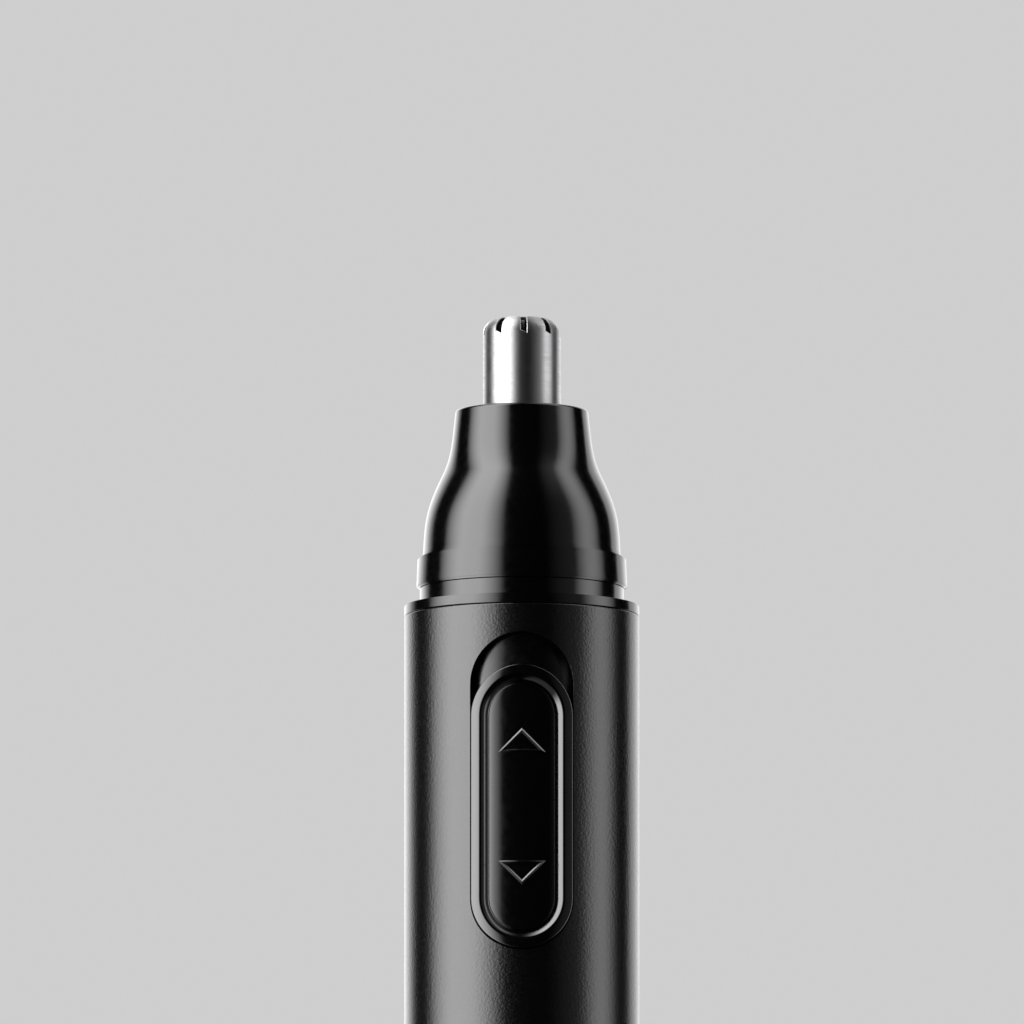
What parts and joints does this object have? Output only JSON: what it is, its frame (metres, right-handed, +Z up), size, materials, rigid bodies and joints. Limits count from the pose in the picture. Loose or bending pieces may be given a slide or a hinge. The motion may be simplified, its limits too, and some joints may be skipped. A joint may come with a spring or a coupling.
{
  "type": "nose hair trimmer",
  "caption": "Slim battery nose hair trimmer: textured handle with a rimmed slide switch, bell-shaped nozzle and slotted steel cutter guard.",
  "frame": {"origin": "centre of the flat base, on the handle's axis", "axes": "+Z up the handle to the cutter, -Y out through the slide switch, +X to the right seen from the switch side"},
  "size_m": [0.026, 0.0263, 0.1352],
  "materials": {
    "sleeve_black": "fine leather-like spark-eroded grain, satin",
    "frame_black": "semi-gloss",
    "gloss_black": "polished",
    "seal_rubber": "nitrile",
    "acetal_white": "moulded",
    "wire_steel": "drawn wire",
    "can_steel": "zinc plated, satin",
    "natural_nylon": "natural",
    "magnet_grey": "sintered ferrite",
    "sintered_bronze": "sintered, oil filled",
    "contact_brass": "stamped strip",
    "carrier_board": "phenolic board",
    "contact_nickel": "nickel plated strip",
    "cell_jacket": "printed jacket, left plain",
    "cell_cap": "nickel plated",
    "shaft_steel": "ground",
    "core_steel": "stacked laminations",
    "copper_wire": "enamelled wire",
    "commutator_copper": "turned",
    "blade_steel": "fine vertical brushing"
  },
  "bodies": {
    "handle": {"sleeve": "sleeve_black", "chassis": "frame_black", "head_frame": "gloss_black", "neck_seal": "seal_rubber", "shaft_seal": "seal_rubber", "motor_clamp": "acetal_white", "clamp_screws": "wire_steel", "motor_can": "can_steel", "motor_end_cap": "natural_nylon", "motor_magnets": "magnet_grey", "front_bearing": "sintered_bronze", "rear_bearing": "sintered_bronze", "motor_brushes": "contact_brass", "motor_terminals": "contact_brass", "contact_carrier": "carrier_board", "positive_contact": "contact_nickel", "motor_strip": "contact_brass", "negative_strip": "contact_brass", "cell_body": "cell_jacket", "cell_terminal": "cell_cap", "detent_spring": "wire_steel"},
    "switch": {"switch_button": "gloss_black", "switch_slider": "acetal_white", "switch_contact": "contact_brass"},
    "rotor": {"motor_shaft": "shaft_steel", "armature_core": "core_steel", "armature_windings": "copper_wire", "commutator": "commutator_copper", "drive_coupling": "acetal_white"},
    "head": {"nozzle": "gloss_black", "cutter_guard": "blade_steel", "guard_retainer": "acetal_white", "stem_bush": "sintered_bronze"},
    "cutter": {"cutter_blade": "blade_steel", "blade_stem": "acetal_white", "blade_spring": "wire_steel"},
    "base": {"base_cap": "gloss_black", "base_seal": "seal_rubber", "spring_plate": "contact_nickel", "negative_spring": "wire_steel"}
  },
  "joints": [
    {"name": "switch_slide", "type": "slide", "parent": "handle", "child": "switch", "axis": [0, 0, 1], "range_m": [0, 0.0035]},
    {"name": "motor_spin", "type": "hinge", "parent": "handle", "child": "rotor", "pos_m": [0, 0, 0.078], "axis": [0, 0, 1], "continuous": true},
    {"name": "head_pull", "type": "slide", "parent": "handle", "child": "head", "axis": [0, 0, 1], "range_m": [0, 0.025]},
    {"name": "cutter_spin", "type": "hinge", "parent": "head", "child": "cutter", "pos_m": [0, 0, 0.12], "axis": [0, 0, 1], "continuous": true},
    {"name": "base_cap_pull", "type": "slide", "parent": "handle", "child": "base", "axis": [0, 0, -1], "range_m": [0, 0.02]}
  ],
  "couplings": [
    {"joint": "cutter_spin", "follows": "motor_spin", "ratio": 1}
  ]
}
